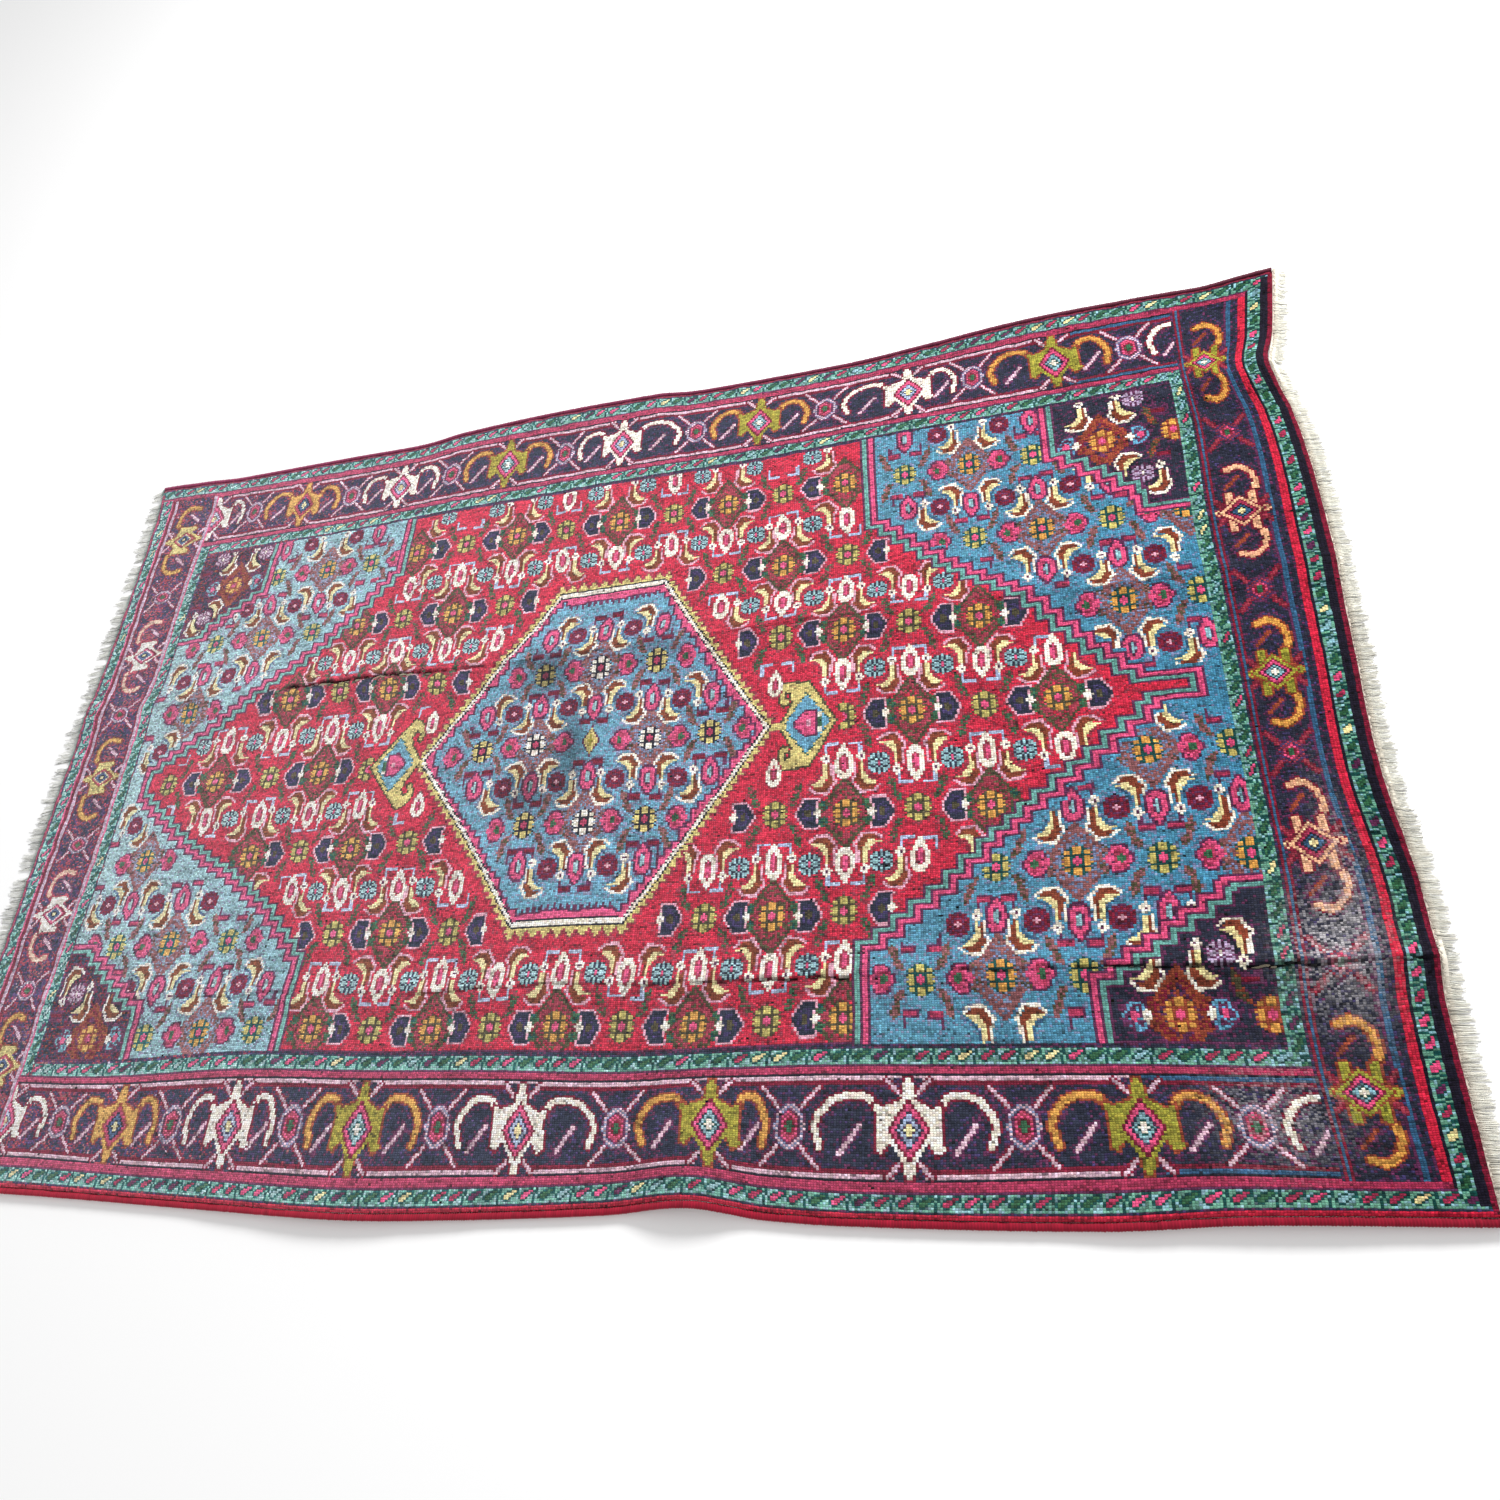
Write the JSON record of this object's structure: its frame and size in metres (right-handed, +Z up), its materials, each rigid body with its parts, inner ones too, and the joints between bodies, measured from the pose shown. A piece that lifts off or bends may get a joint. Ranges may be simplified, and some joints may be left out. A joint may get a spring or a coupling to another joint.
{
  "type": "persian rug",
  "caption": "Hand-knotted wool rug lying flat on the floor, with thick pile, overcast side edges, a short cotton fringe at both ends, and shallow folds.",
  "frame": {"origin": "on the floor under the middle of the rug, fringes included", "axes": "+X along the length towards the right-hand fringe, +Y across the width towards the far side, +Z up out of the pile"},
  "size_m": [2.213, 1.3898, 0.0221],
  "materials": {
    "pile": "knotted wool pile in red, blue, navy, ivory, pink, green and ochre, softly worn",
    "selvedge": "red wool wound round the edge warps",
    "fringe": "undyed cotton warp ends"
  },
  "bodies": {
    "root": {"rug_pile": "pile", "selvedge_far": "selvedge", "selvedge_near": "selvedge", "fringe_left": "fringe", "fringe_right": "fringe"}
  },
  "joints": []
}
